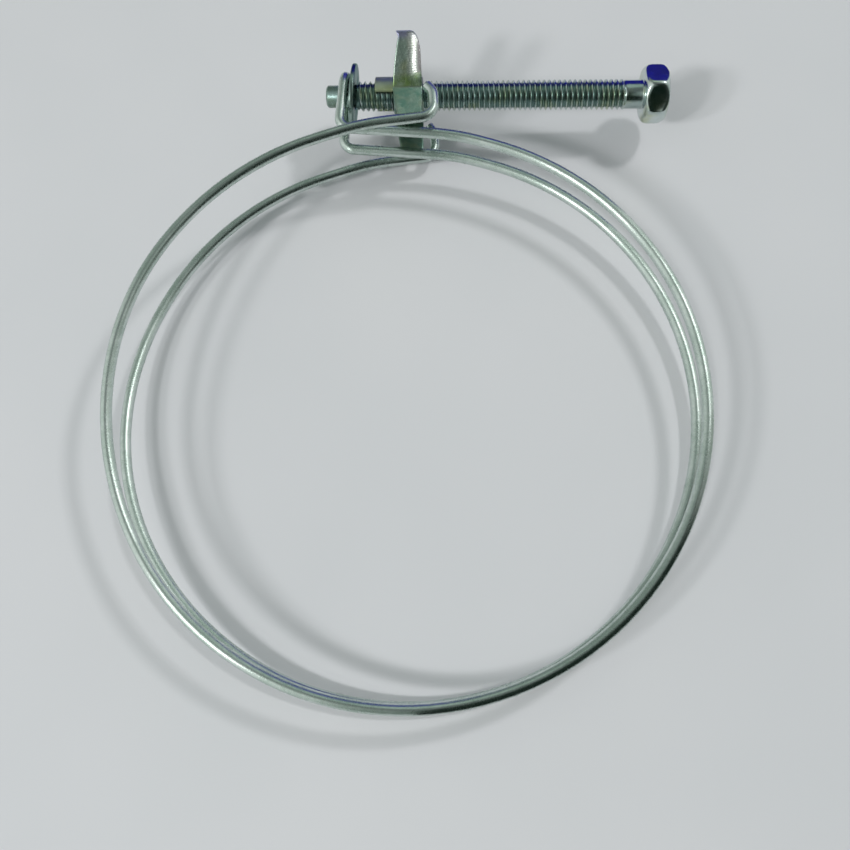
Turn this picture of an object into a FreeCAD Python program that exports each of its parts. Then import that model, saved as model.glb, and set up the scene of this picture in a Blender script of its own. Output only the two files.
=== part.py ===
import FreeCAD, Part
import math
import os

# Double wire hose clamp, drawn closed as in use. Millimetres.
# Origin: centre of the ring. +Z: along the hose. +Y: towards the screw.
# +X: along the screw, from its plain tip to its hexagon head.

V = FreeCAD.Vector

# Ring of spring wire
hose_d = 102.3          # bore of the ring, which is the outside of the hose
wire_d = 2.0
screw_rise = 10.82      # screw axis above the wire's centreline at the top of the ring
loop_r = 3.575          # arch of the closed loop, centreline, round the screw's tip
spread_start_angle = 240.0    # clock angle, from +Y towards +X, where the outer pair begins to part
spread_end_angle = 300.0      # clock angle where it runs straight again
spread_steps = 6
ring_steps = 3          # arcs that make up the even part of the ring

# Closed loop, the end that the screw pushes
loop_x = -13.05         # station of the loop's legs at the screw's height
loop_lean = 3.7         # degrees, the loop's top towards the head
loop_leave = 17.2       # clock angle where the inner pair leaves the round
loop_tail_x = 8.7       # station where it bends flat
loop_tail_rise = 4.4    # degrees, its climb from there to the loop
loop_foot_r = 2.2       # bend from the tail up into a leg

# Free ends, hooked up behind the nut bracket
hook_leave = 19.1       # clock angle, on the other side, where the outer pair leaves the round
hook_tail_x = -8.6
hook_tail_rise = 7.0
hook_foot_x = 4.65      # station of the bend from the tail up into the hook
hook_foot_r = 2.7
hook_knee_drop = 4.0    # knee of the hook below the screw axis
hook_knee_lean = 0.3    # knee nearer to the bracket than the foot
hook_knee_r = 3.4
hook_tip_drop = 2.45     # centre of the wire's cut end below the screw axis
hook_tip_in = 0.35      # cut end nearer to the middle than the knee
tail_bend_r = 40.0
arc_share = 0.998       # arcs end this much short of their corners' tangent points, so none overlap

# Screw, M6 x 1, with a plain dog point
thread_d = 5.7
thread_len = 52.4
dog_d = 4.2
dog_len = 6.0
neck_d = 5.3
neck_len = 3.35
head_af = 9.8
head_h = 4.6
head_chamfer = 42.0     # degrees, on both faces of the hexagon
head_edge = 0.25         # the chamfer starts this far inside the flats
tip_chamfer = 0.35
head_turn = -14.0       # degrees, first corner from +Z towards +Y

# End washer on the dog point
washer_d = 12.4
washer_t = 0.85
washer_yaw = 2.5        # degrees, it hangs askew on the dog point, its back half on the loop
washer_edge = 0.25      # rounded rim

# Nut bracket, pressed from sheet
sheet = 0.7
nut_right = 2.25        # right-hand edge, which pushes on the hooks
nut_top_left = -3.4     # left-hand edge at the shoulder
nut_foot_left = -2.2    # left-hand edge at the foot of the cheeks
cheek_drop = 9.3        # foot of the cheeks below the screw axis
cheek_corner_r = 1.2
shelf_drop = 0.9        # shelf that joins the sleeve to the cheeks, below the axis
shoulder_drop = 2.2     # start of the bend from cheek to ear, below the axis
shoulder_r = 1.2
flare = 39.0            # degrees, the ear out from upright
ear_len = 9.3
ear_tip_left = -2.2
ear_tip_right = 0.25
ear_corner_h = 4.6      # height of the ear's big rounded corner
ear_taper = 0.2        # its right edge leans in by this up to the corner
ear_spur = 0.45         # sharp corner left on the left side of the ear's rolled lip
ear_lip_h = 0.9
ear_lip_back = 0.3
curl_x = -0.15           # station where the ear begins to curl forward
curl_angle = 50.0
curl_rise = 3.0         # length of ear over which the curl comes up
tongue_left = -7.05
sleeve_dip = 18.0       # degrees that the open sleeve reaches below the axis

# Clearances
seat_gap = 0.02
thread_gap = 0.05       # screw in the bracket's thread
dog_gap = 0.35          # washer round the dog point
shoulder_gap = 0.05     # screw's shoulder to the washer
cheek_in_gap = 0.225    # inner pair of wires inside the cheeks
cheek_out_gap = 0.35    # outer pair of wires outside the cheeks
hook_gap = 0.25         # cut ends of the hooks to the bracket's edge
cut_over = 1.0          # how far a cutting shape stands out past what it cuts

wire_r = wire_d / 2
ring_r = hose_d / 2 + wire_r
axis_y = ring_r + screw_rise
cheek_in = loop_r + wire_r + cheek_in_gap
cheek_out = cheek_in + sheet
outer_z = cheek_out + cheek_out_gap + wire_r
bore_r = thread_d / 2 + thread_gap
sleeve_r = bore_r + sheet


def on_clock(radius, degrees, z):
    a = math.radians(degrees)
    return V(radius * math.sin(a), radius * math.cos(a), z)


def smooth(t):
    t = min(max(t, 0.0), 1.0)
    return t * t * (3 - 2 * t)


def bend_path(points, radii):
    # Straight runs joined by tangent arcs, as on a wire bending machine.
    # A radius of None takes half of the shorter of its two runs.
    edges = []
    here = points[0]
    for i in range(1, len(points) - 1):
        back = points[i - 1] - points[i]
        ahead = points[i + 1] - points[i]
        half_turn = (math.pi - back.getAngle(ahead)) / 2
        if radii[i] is None:
            reach = min(back.Length, ahead.Length) / 2 * arc_share
        else:
            reach = radii[i] * math.tan(half_turn) * arc_share
        back.normalize()
        ahead.normalize()
        start = points[i] + back * reach
        end = points[i] + ahead * reach
        inward = (back + ahead).normalize()
        radius = reach / math.tan(half_turn)
        middle = points[i] + inward * (radius / math.cos(half_turn) - radius)
        if (start - here).Length > 1e-5:
            edges.append(Part.LineSegment(here, start).toShape())
        edges.append(Part.Arc(start, middle, end).toShape())
        here = end
    if (points[-1] - here).Length > 1e-5:
        edges.append(Part.LineSegment(here, points[-1]).toShape())
    return Part.Wire(edges)


def ring_corners():
    # Corners of the polygon that the ring's arcs round off, from the hooks round to the loop.
    # Clock angles fall from 360 - hook_leave to loop_leave, the outer pair first.
    first = 360.0 - hook_leave
    stops = [first, spread_end_angle]
    for k in range(1, spread_steps + 1):
        stops.append(spread_end_angle + (spread_start_angle - spread_end_angle) * k / spread_steps)
    for k in range(1, ring_steps + 1):
        stops.append(spread_start_angle + (loop_leave - spread_start_angle) * k / ring_steps)
    corners = []
    for a, b in zip(stops, stops[1:]):
        middle = (a + b) / 2
        parted = smooth((middle - spread_start_angle) / (spread_end_angle - spread_start_angle))
        z = loop_r + (outer_z - loop_r) * parted
        even = a > spread_end_angle or b < spread_start_angle
        corners.append((on_clock(ring_r / math.cos(math.radians(a - b) / 2), middle, z),
                        ring_r if even else None))
    return corners


def tangent_point(clock, x):
    # Point at station x on the line that touches the ring's centreline at a clock angle.
    a = math.radians(clock)
    return (ring_r - x * math.sin(a)) / math.cos(a)


def half_wire():
    # From a cut end, round the ring, up into one leg of the loop and half over its arch.
    tail_y = tangent_point(-hook_leave, hook_tail_x)
    climb = math.tan(math.radians(hook_tail_rise))
    foot_y = tail_y + (hook_foot_x - hook_tail_x) * climb
    knee_x = hook_foot_x - hook_knee_lean
    tip_x = nut_right + hook_gap + wire_r * math.sqrt(0.5)
    path = [(V(tip_x, axis_y - hook_tip_drop, outer_z - hook_tip_in), None),
            (V(knee_x, axis_y - hook_knee_drop, outer_z), hook_knee_r),
            (V(hook_foot_x, foot_y, outer_z), hook_foot_r),
            (V(hook_tail_x, tail_y, outer_z), tail_bend_r)]
    path += ring_corners()
    bend_y = tangent_point(loop_leave, loop_tail_x)
    climb = math.tan(math.radians(loop_tail_rise))
    lean = math.tan(math.radians(loop_lean))
    # The tail and the leaning leg meet where both lines have the same height.
    reach = (loop_tail_x - loop_x + (axis_y - bend_y) * lean) / (1 + climb * lean)
    path.append((V(loop_tail_x, bend_y, loop_r), tail_bend_r))
    path.append((V(loop_tail_x - reach, bend_y + reach * climb, loop_r), loop_foot_r))
    path.append((leaned(0, loop_r, loop_r), loop_r))
    return path


def leaned(out, up, z):
    # Point in the loop's own frame: out along the screw, up the leaning legs.
    a = math.radians(loop_lean)
    return V(loop_x + out * math.cos(a) + up * math.sin(a),
             axis_y - out * math.sin(a) + up * math.cos(a), z)


def wire_ring():
    half = half_wire()
    whole = half + [(V(p.x, p.y, -p.z), r) for p, r in reversed(half)]
    path = bend_path([p for p, r in whole], [r for p, r in whole])
    start = path.Edges[0]
    heading = start.tangentAt(start.FirstParameter)
    section = Part.Face(Part.Wire(Part.makeCircle(wire_r, whole[0][0], heading)))
    solid = path.makePipe(section)
    print("wire length", round(path.Length, 1), "volume over section times length",
          round(solid.Volume / (path.Length * math.pi * wire_r ** 2), 5))
    return solid


def screw():
    yaw = math.radians(washer_yaw)
    askew = math.hypot(math.tan(yaw), math.tan(math.radians(loop_lean)))
    face = leaned(washer_seat() + washer_t / math.cos(yaw), 0, 0).x
    shoulder = face + thread_d / 2 * askew + shoulder_gap
    tip = shoulder - dog_len
    thread_end = shoulder + thread_len
    head = thread_end + neck_len
    dog_r = dog_d / 2
    rise = thread_d / 2 - dog_r
    neck_r = neck_d / 2
    outline = [V(tip, 0, 0), V(tip, dog_r - tip_chamfer, 0), V(tip + tip_chamfer, dog_r, 0),
               V(shoulder, dog_r, 0), V(shoulder, thread_d / 2 - rise / 3, 0),
               V(shoulder + rise / 3, thread_d / 2, 0), V(thread_end - rise / 3, thread_d / 2, 0),
               V(thread_end, neck_r, 0), V(head + head_h / 2, neck_r, 0), V(head + head_h / 2, 0, 0)]
    outline.append(outline[0])
    shank = Part.Face(Part.makePolygon(outline)).revolve(V(0, 0, 0), V(1, 0, 0), 360)
    across = head_af / math.cos(math.radians(30)) / 2
    corners = []
    for k in range(7):
        a = math.radians(head_turn + 60 * k)
        corners.append(V(head, across * math.sin(a), across * math.cos(a)))
    hexagon = Part.Face(Part.makePolygon(corners)).extrude(V(head_h, 0, 0))
    slope = math.tan(math.radians(head_chamfer))
    flat_r = head_af / 2 - head_edge
    drop = (across - flat_r) * slope
    cone = [V(head, 0, 0), V(head, flat_r, 0), V(head + drop, across, 0),
            V(head + head_h - drop, across, 0), V(head + head_h, flat_r, 0),
            V(head + head_h, 0, 0), V(head, 0, 0)]
    hexagon = hexagon.common(Part.Face(Part.makePolygon(cone)).revolve(V(0, 0, 0), V(1, 0, 0), 360))
    solid = shank.fuse(hexagon).removeSplitter()
    solid.translate(V(0, axis_y, 0))
    return solid


def end_washer():
    inner = dog_d / 2 + dog_gap
    outer = washer_d / 2
    e = washer_edge
    profile = [V(0, inner, 0), V(0, outer - e, 0), V(e, outer, 0), V(washer_t - e, outer, 0),
               V(washer_t, outer - e, 0), V(washer_t, inner, 0), V(0, inner, 0)]
    solid = Part.Face(Part.makePolygon(profile)).revolve(V(0, 0, 0), V(1, 0, 0), 360)
    solid.rotate(V(0, 0, 0), V(0, 1, 0), washer_yaw)
    solid.rotate(V(0, 0, 0), V(0, 0, 1), -loop_lean)
    solid.translate(leaned(washer_seat(), 0, 0))
    return solid


def washer_seat():
    # Askew, the washer's left face stands off the loop until its back half meets the rear leg.
    yaw = math.radians(washer_yaw)
    return (wire_r + seat_gap) / math.cos(yaw) + loop_r * math.tan(yaw)


def nut_sleeve():
    # Half-open tongue over the thread, and the closed threaded collar between the cheeks.
    tongue = ring_block(tongue_left, nut_right, bore_r, sleeve_r)
    low = sleeve_r * math.sin(math.radians(sleeve_dip))
    opening = Part.makeBox(nut_top_left - tongue_left + cut_over, 2 * sleeve_r, 4 * sleeve_r,
                           V(tongue_left - cut_over, axis_y - low - 2 * sleeve_r, -2 * sleeve_r))
    return tongue.cut(opening)


def ring_block(x0, x1, inner, outer):
    centre = V(x0, axis_y, 0)
    along = V(1, 0, 0)
    tube = Part.makeCylinder(outer, x1 - x0, centre, along)
    return tube.cut(Part.makeCylinder(inner, x1 - x0, centre, along))


def cheek():
    # Upright side plate with the bend at its top, cut to its tapering outline.
    a = math.radians(flare)
    bend = V(0, axis_y - shoulder_drop, cheek_out + shoulder_r)
    width = nut_right - nut_top_left
    foot = axis_y - cheek_drop

    def at(radius, turn):
        return V(nut_top_left, bend.y + radius * math.sin(turn), bend.z - radius * math.cos(turn))

    near = shoulder_r
    far = shoulder_r + sheet
    rim = Part.Wire([Part.LineSegment(V(nut_top_left, foot, cheek_out), at(near, 0)).toShape(),
                     Part.Arc(at(near, 0), at(near, a / 2), at(near, a)).toShape(),
                     Part.LineSegment(at(near, a), at(far, a)).toShape(),
                     Part.Arc(at(far, a), at(far, a / 2), at(far, 0)).toShape(),
                     Part.LineSegment(at(far, 0), V(nut_top_left, foot, cheek_in)).toShape(),
                     Part.LineSegment(V(nut_top_left, foot, cheek_in),
                                      V(nut_top_left, foot, cheek_out)).toShape()])
    plate = Part.Face(rim).extrude(V(width, 0, 0))
    return plate.common(cheek_outline())


def cheek_outline():
    # Seen along Z: slanting left edge, upright right edge, rounded foot.
    foot = axis_y - cheek_drop
    top = axis_y + ear_len
    waist = axis_y - shoulder_drop
    corners = [V(nut_right, top, 0), V(nut_right, foot, 0), V(nut_foot_left, foot, 0),
               V(nut_top_left, waist, 0), V(nut_top_left, top, 0)]
    path = bend_path(corners, [None, cheek_corner_r, cheek_corner_r, cheek_corner_r, None])
    closing = Part.LineSegment(corners[-1], corners[0]).toShape()
    outline = Part.Face(Part.Wire(path.Edges + [closing]))
    return outline.extrude(V(0, 0, cheek_out + shoulder_r))


def ear_point(x, v, w):
    # Ear's own frame: v up the ear from the bend, w out of its front face.
    a = math.radians(flare)
    y = axis_y - shoulder_drop + shoulder_r * math.sin(a)
    z = cheek_out + shoulder_r - shoulder_r * math.cos(a)
    return V(x, y + v * math.cos(a) - w * math.sin(a), z + v * math.sin(a) + w * math.cos(a))


def ear_section(v):
    # Flat on the left, curling forward on the right, and rolled back at the lip.
    lip = max(0.0, (v - ear_len + ear_lip_h) / ear_lip_h)
    back = ear_lip_back * lip * lip
    turn = math.radians(curl_angle) * max(smooth(v / curl_rise), 0.001)
    length = nut_right - curl_x + sheet
    radius = length / turn
    left = nut_top_left - sheet
    flat = [left + (curl_x - left) * k / 3 for k in range(3)]
    front = [ear_point(x, v, -back) for x in flat]
    rear = [ear_point(x, v, -back - sheet) for x in flat]
    for k in range(6):
        a = turn * k / 5
        near = radius - sheet / 2
        far = radius + sheet / 2
        front.append(ear_point(curl_x + near * math.sin(a), v, near * (1 - math.cos(a)) - back))
        rear.append(ear_point(curl_x + far * math.sin(a), v, far * (1 - math.cos(a)) - back - sheet))
    sides = []
    for row in (front, rear[::-1]):
        curve = Part.BSplineCurve()
        curve.interpolate(row)
        sides.append(curve.toShape())
    return Part.Wire([sides[0], Part.LineSegment(front[-1], rear[-1]).toShape(), sides[1],
                      Part.LineSegment(rear[0], front[0]).toShape()])


def ear():
    lip_start = ear_len - ear_lip_h
    heights = [0.0, curl_rise / 3, curl_rise * 2 / 3, curl_rise, (curl_rise + lip_start) / 2,
               lip_start, lip_start + ear_lip_h / 2, ear_len]
    blank = Part.makeLoft([ear_section(v) for v in heights], True)
    return blank.common(ear_outline())


def ear_outline():
    # Seen square to the ear: bowed left edge, spur of the lip, big rounded right corner.
    deep = -4 * sheet
    lip_start = ear_len - ear_lip_h
    corner_v = ear_len - ear_corner_h

    def at(x, v):
        return ear_point(x, v, deep)

    waist_left = (nut_top_left + ear_tip_left) / 2 - ear_spur / 3
    edge_left = Part.Arc(at(nut_top_left, 0), at(waist_left, lip_start / 2), at(ear_tip_left, lip_start))
    spur_x = ear_tip_left - ear_spur
    edge_x = nut_right - ear_taper
    corner = Part.BSplineCurve()
    sweep = [(1 - math.cos(a), math.sin(a)) for a in (math.pi / 2 * k / 6 for k in range(7))]
    corner.interpolate([at(edge_x - (edge_x - ear_tip_right) * s, corner_v + ear_corner_h * c)
                        for s, c in sweep])
    edges = [edge_left.toShape(),
             Part.LineSegment(at(ear_tip_left, lip_start), at(spur_x, ear_len)).toShape(),
             Part.LineSegment(at(spur_x, ear_len), at(ear_tip_right, ear_len)).toShape(),
             corner.toShape(),
             Part.LineSegment(at(edge_x, corner_v), at(nut_right, 0)).toShape(),
             Part.LineSegment(at(nut_right, 0), at(nut_top_left, 0)).toShape()]
    outline = Part.Face(Part.Wire(Part.__sortEdges__(edges)))
    return outline.extrude(ear_point(0, 0, 12 * sheet) - ear_point(0, 0, 0))


def shelf():
    width = nut_right - nut_top_left
    reach = cheek_out - bore_r
    return Part.makeBox(width, sheet, reach - sheet / 2,
                        V(nut_top_left, axis_y - shelf_drop - sheet, bore_r))


def nut_bracket():
    side = cheek().fuse([ear(), shelf()])
    other = side.mirror(V(0, 0, 0), V(0, 0, 1))
    hole = Part.makeCylinder(bore_r, nut_right - tongue_left + 2 * cut_over,
                             V(tongue_left - cut_over, axis_y, 0), V(1, 0, 0))
    return nut_sleeve().fuse([side, other]).cut(hole).removeSplitter()


os.makedirs("parts", exist_ok=True)
pieces = {"wire_ring": wire_ring(), "screw": screw(), "end_washer": end_washer(),
          "nut_bracket": nut_bracket()}
for name, shape in pieces.items():
    if len(shape.Solids) == 1:
        shape = shape.Solids[0]
    box = shape.BoundBox
    print(name, "valid", shape.isValid(), "solids", len(shape.Solids), "volume", round(shape.Volume, 2),
          "x", round(box.XMin, 2), round(box.XMax, 2), "y", round(box.YMin, 2), round(box.YMax, 2),
          "z", round(box.ZMin, 2), round(box.ZMax, 2))
    shape.exportStep("parts/" + name + ".step")
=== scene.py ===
# %% [markdown]
# # A double wire hose clamp
# Four pieces make this clamp. A spring wire runs twice round the hose, with a closed loop at one
# side and two hooks at the other. A long hexagon-head screw pushes on the loop through a loose
# washer, and a pressed sheet nut rides on its thread and pushes on the hooks.
# The lesson starts from the solid model, which is loaded as a fixed frame. Each piece is then made
# again with the detail that an eye sees: the turned thread, the rounded edges, the plating.

# %% Load the solid model
import bpy
import bmesh
import math
from mathutils import Matrix, Vector


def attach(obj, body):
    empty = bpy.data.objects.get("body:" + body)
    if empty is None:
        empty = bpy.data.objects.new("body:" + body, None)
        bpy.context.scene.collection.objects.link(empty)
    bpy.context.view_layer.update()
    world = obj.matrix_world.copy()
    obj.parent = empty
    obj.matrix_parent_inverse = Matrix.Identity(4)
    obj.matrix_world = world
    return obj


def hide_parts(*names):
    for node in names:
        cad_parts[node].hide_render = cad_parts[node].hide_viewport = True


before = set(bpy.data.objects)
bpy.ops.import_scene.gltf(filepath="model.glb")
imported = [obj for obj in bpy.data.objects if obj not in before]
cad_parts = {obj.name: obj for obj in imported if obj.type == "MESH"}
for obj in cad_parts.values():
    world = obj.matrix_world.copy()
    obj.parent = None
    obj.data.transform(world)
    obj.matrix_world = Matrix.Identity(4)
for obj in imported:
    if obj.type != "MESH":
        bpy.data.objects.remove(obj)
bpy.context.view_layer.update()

MM = 0.001                # Blender counts in metres, and the sizes below are in millimetres

# %% [markdown]
# ## Small helpers for node trees
# A bent wire, a thread and a plated finish are all made by node trees here. Written out node by
# node, such trees are long and hard to read. So a `Tree` adds any node in one line, and a `Value`
# wraps a socket, so that Python's own signs add the Math nodes: `1 - mask * 0.5` reads as it works.

# %% Helpers for node trees
class Value:
    def __init__(self, tree, socket):
        self.tree = tree
        self.socket = socket

    def math(self, operation, *others):
        return self.tree.add("ShaderNodeMath", {"operation": operation},
                             dict(enumerate((self,) + others)))

    def __add__(self, other):
        return self.math("ADD", other)

    __radd__ = __add__

    def __mul__(self, other):
        return self.math("MULTIPLY", other)

    __rmul__ = __mul__

    def __sub__(self, other):
        return self.math("SUBTRACT", other)

    def __rsub__(self, other):
        return self.tree.add("ShaderNodeMath", {"operation": "SUBTRACT"}, {0: other, 1: self})

    def __truediv__(self, other):
        return self.math("DIVIDE", other)

    def __rtruediv__(self, other):
        return self.tree.add("ShaderNodeMath", {"operation": "DIVIDE"}, {0: other, 1: self})


class Tree:
    def __init__(self, tree):
        self.tree = tree

    def add(self, kind, settings=None, sockets=None, out=0):
        node = self.tree.nodes.new(kind)
        for name, setting in (settings or {}).items():
            setattr(node, name, setting)
        for name, given in (sockets or {}).items():
            self.plug(given, node.inputs[name])
        return Value(self, node.outputs[out]) if len(node.outputs) else None

    def plug(self, given, socket):
        if isinstance(given, Value):
            self.tree.links.new(given.socket, socket)
        else:
            socket.default_value = given


def split(tree, vector):
    # The x, y and z of a vector, as three Values.
    node = tree.add("ShaderNodeSeparateXYZ", None, {0: vector}).socket.node
    return [Value(tree, output) for output in node.outputs]


print("helpers ready")

# %% [markdown]
# ## Geometry trees
# A geometry tree has named inputs for its sizes. The modifier that runs it is filled in by each
# input's identifier, and the result is turned into a plain mesh, which is what the rest of the
# lesson works with. A finished mesh is then shown in place of its solid, and rides on its body.

# %% Helpers for geometry trees
def geometry_tree(name, inputs):
    group = bpy.data.node_groups.new(name, "GeometryNodeTree")
    group.interface.new_socket("Geometry", in_out="INPUT", socket_type="NodeSocketGeometry")
    for label, kind in inputs.items():
        group.interface.new_socket(label, in_out="INPUT", socket_type=kind)
    group.interface.new_socket("Geometry", in_out="OUTPUT", socket_type="NodeSocketGeometry")
    tree = Tree(group)
    entry = group.nodes.new("NodeGroupInput")
    given = {label: Value(tree, entry.outputs[label]) for label in ["Geometry", *inputs]}
    return tree, given


def finish_tree(tree, shape, material):
    real = tree.add("GeometryNodeRealizeInstances", None, {0: shape})
    dressed = tree.add("GeometryNodeSetMaterial", None, {"Geometry": real, "Material": material})
    end = tree.tree.nodes.new("NodeGroupOutput")
    tree.plug(dressed, end.inputs[0])


def as_mesh(carrier, name):
    # What an object's modifiers make of it, as a plain mesh. The object itself goes.
    depsgraph = bpy.context.evaluated_depsgraph_get()
    mesh = bpy.data.meshes.new_from_object(carrier.evaluated_get(depsgraph))
    mesh.name = name
    carrier.modifiers.clear()
    bpy.data.objects.remove(carrier)
    return mesh


def grow(name, base, group, values):
    # Runs a geometry tree on a base mesh.
    carrier = bpy.data.objects.new(name + "_base", base)
    bpy.context.scene.collection.objects.link(carrier)
    modifier = carrier.modifiers.new("grow", "NODES")
    modifier.node_group = group
    for item in group.interface.items_tree:
        if item.in_out == "INPUT" and item.name in values:
            modifier[item.identifier] = values[item.name]
    return as_mesh(carrier, name)


def show(name, mesh, body, node):
    piece = bpy.data.objects.new(name, mesh)
    bpy.context.scene.collection.objects.link(piece)
    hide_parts(node)
    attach(piece, body)
    low = [round(min(v.co[i] for v in mesh.vertices) / MM, 2) for i in range(3)]
    high = [round(max(v.co[i] for v in mesh.vertices) / MM, 2) for i in range(3)]
    print(name, len(mesh.polygons), "faces,", low, "to", high)


print("geometry tree helpers ready")

# %% [markdown]
# ## Plated steel
# All four pieces are steel with a thin bright zinc plate. Zinc is a cool metal with a faint green
# and yellow cast from its passivation, and it is never quite even: it clouds slightly over a few
# millimetres, and is a little rougher where it was worked. A single colour would look like
# plastic. So the finish is built up from soft clouds, steps and bands, and each of these is a
# helper with a plain name.

# %% Material helpers
def grade(tree, value, low, high, kind="LINEAR"):
    # 0 below low, 1 above high, and even between them.
    return tree.add("ShaderNodeMapRange", {"clamp": True, "interpolation_type": kind},
                    {"Value": value, "From Min": low, "From Max": high})


def step_up(tree, value, low, high):
    # 0 below low, 1 above high, and smooth between them.
    return grade(tree, value, low, high, "SMOOTHSTEP")


def band(tree, value, rise, fall):
    # Up from 0 to 1 over the span `rise`, and down again over the span `fall`.
    return step_up(tree, value, *rise) * step_up(tree, value, fall[1], fall[0])


def cloud(tree, place, size, detail=2.0, edges=(0.35, 0.65)):
    # Soft clouds, 0 to 1, with patches of the given size in metres.
    noise = tree.add("ShaderNodeTexNoise", None,
                     {"Vector": place, "Scale": 1 / size, "Detail": detail, "Roughness": 0.55})
    return grade(tree, noise, *edges)


def mix(tree, share, first, second):
    # A colour between two, by share.
    return tree.add("ShaderNodeMix", {"data_type": "RGBA"}, {0: share, 6: first, 7: second}, out=2)


def new_material(name):
    material = bpy.data.materials.new(name)
    material.use_nodes = True
    material.node_tree.nodes.clear()
    return material, Tree(material.node_tree)


print("material helpers ready")

# %% [markdown]
# ## One finish for four pieces
# Small steel parts are plated together in a barrel, so one function makes all four finishes: two
# tones that cloud into each other, a roughness, and a fine grain for the bump. What the tools left
# on one piece alone is added by a function of its own, `worked`, which changes the coat's colour,
# roughness or height; on the screw and the bracket it also paints shade, highlights and
# reflections into the colour. A value that is the same all over is `fixed` on the shader.

# %% The plated finish
def plated(name, pale, deep, rough, rough_spread, grain, tint=None, worked=None, fixed=None):
    material, tree = new_material(name)
    place = tree.add("ShaderNodeTexCoord", out="Object")
    wide = cloud(tree, place, 6.0 * MM)
    fine = cloud(tree, place, 0.9 * MM, detail=3.0)
    coat = {"colour": mix(tree, wide * 0.6 + fine * 0.4, pale, deep),
            "roughness": rough + (wide * 0.5 + fine * 0.5) * rough_spread,
            "height": fine}
    if tint:
        patch = cloud(tree, place, 3.5 * MM, edges=(0.45, 0.7))
        coat["colour"] = mix(tree, patch * 0.55, coat["colour"], tint)
    # worked adds tool marks, and on the screw and the bracket painted light and shade
    if worked:
        worked(tree, place, coat)
    bump = tree.add("ShaderNodeBump", None,
                    {"Height": coat["height"], "Strength": 0.6, "Distance": grain})
    shader = tree.add("ShaderNodeBsdfPrincipled", None,
                      {"Base Color": coat["colour"], "Metallic": 1.0,
                       "Roughness": coat["roughness"], "Normal": bump, **(fixed or {})})
    tree.add("ShaderNodeOutputMaterial", None, {"Surface": shader})
    return material


print("one finish, changed by how a piece was worked")

# %% [markdown]
# ## The wire's finish
# Wire is drawn through a die, which leaves fine lines along it. A noise that is stretched along
# the wire gives them. It can't be read from the place in space, because the wire turns, so the
# wire's geometry tree stores two attributes for it: the distance along the wire, and the direction
# round it. The lines also spread each highlight across the wire, which is the shader's anisotropy.

# %% Drawn wire
line_share = 0.6          # how much of the grain is lines, and not clouds
lines_round = 14.0        # by direction round the wire: a line is about 0.07 mm wide
lines_along = 260.0       # by metres along it: a line runs for about 4 mm


def drawn_lines(tree, place, coat):
    along = tree.add("ShaderNodeAttribute", {"attribute_name": "along"}, out="Fac")
    around = tree.add("ShaderNodeAttribute", {"attribute_name": "around"}, out="Vector")
    streak = tree.add("ShaderNodeVectorMath", {"operation": "SCALE"},
                      {0: around, "Scale": lines_round})
    drift = tree.add("ShaderNodeCombineXYZ", None, {"Z": along * lines_along})
    streak = tree.add("ShaderNodeVectorMath", {"operation": "ADD"}, {0: streak, 1: drift})
    lines = tree.add("ShaderNodeTexNoise", None, {"Vector": streak, "Scale": 1.0, "Detail": 2.0})
    coat["height"] = coat["height"] * (1 - line_share) + lines * line_share


zinc_wire = plated("zinc_drawn_wire", (0.70, 0.765, 0.735, 1), (0.49, 0.585, 0.53, 1),
                   rough=0.22, rough_spread=0.08, grain=0.005 * MM, worked=drawn_lines,
                   fixed={"Anisotropic": 0.75, "Anisotropic Rotation": 0.25})
print("finish:", zinc_wire.name)

# %% [markdown]
# ## The screw's and the washer's finish
# The plating current hardly reaches the root of a thread, so the plate is thin and dull there, and
# the dark colour in the grooves is partly that and partly painted shade in the recess. Distance
# from the screw's axis is enough to find those places, and the turned dog point, which is darkened
# and roughened the same way, lies beyond the shoulder. The washer is a darker zinc. A tint on its
# mirror at a glancing angle keeps its far half from flaring white.

# %% Screw and washer
axis_y = 62.97            # height of the screw's axis over the ring's centre
shoulder_x = -10.75       # station of the screw's shoulder, where the dog point ends
crest_shade_r = 2.78       # the painted groove shade and the dull plate begin just under the crests
root_shade_r = 2.38        # and both are full near the root
core_r = 2.2              # nothing of the thread lies further in
dog_darkening = 0.85


def groove_shade_and_dull(tree, place, coat):
    x, y, z = split(tree, place)
    y = y - axis_y * MM
    off = (y * y + z * z).math("SQRT")
    shade_and_dull = grade(tree, off, crest_shade_r * MM, root_shade_r * MM)
    shade_and_dull = shade_and_dull * off.math("GREATER_THAN", core_r * MM)
    dog = x.math("LESS_THAN", (shoulder_x - 0.05) * MM)
    shade_and_dull = shade_and_dull.math("MAXIMUM", dog * dog_darkening)
    # painted shade: the grooves and the dog point are mixed towards a dark teal
    coat["colour"] = mix(tree, shade_and_dull * 0.7, coat["colour"], (0.07, 0.18, 0.16, 1))
    coat["roughness"] = coat["roughness"] + shade_and_dull * 0.14


zinc_screw = plated("zinc_screw", (0.62, 0.69, 0.68, 1), (0.48, 0.57, 0.55, 1),
                    rough=0.10, rough_spread=0.10, grain=0.008 * MM,
                    tint=(0.55, 0.58, 0.30, 1), worked=groove_shade_and_dull)
zinc_washer = plated("zinc_washer", (0.36, 0.45, 0.41, 1), (0.22, 0.30, 0.28, 1),
                     rough=0.16, rough_spread=0.12, grain=0.012 * MM,
                     fixed={"Specular Tint": (0.35, 0.45, 0.45, 1)})
print("finishes:", zinc_screw.name, zinc_washer.name)

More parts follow.
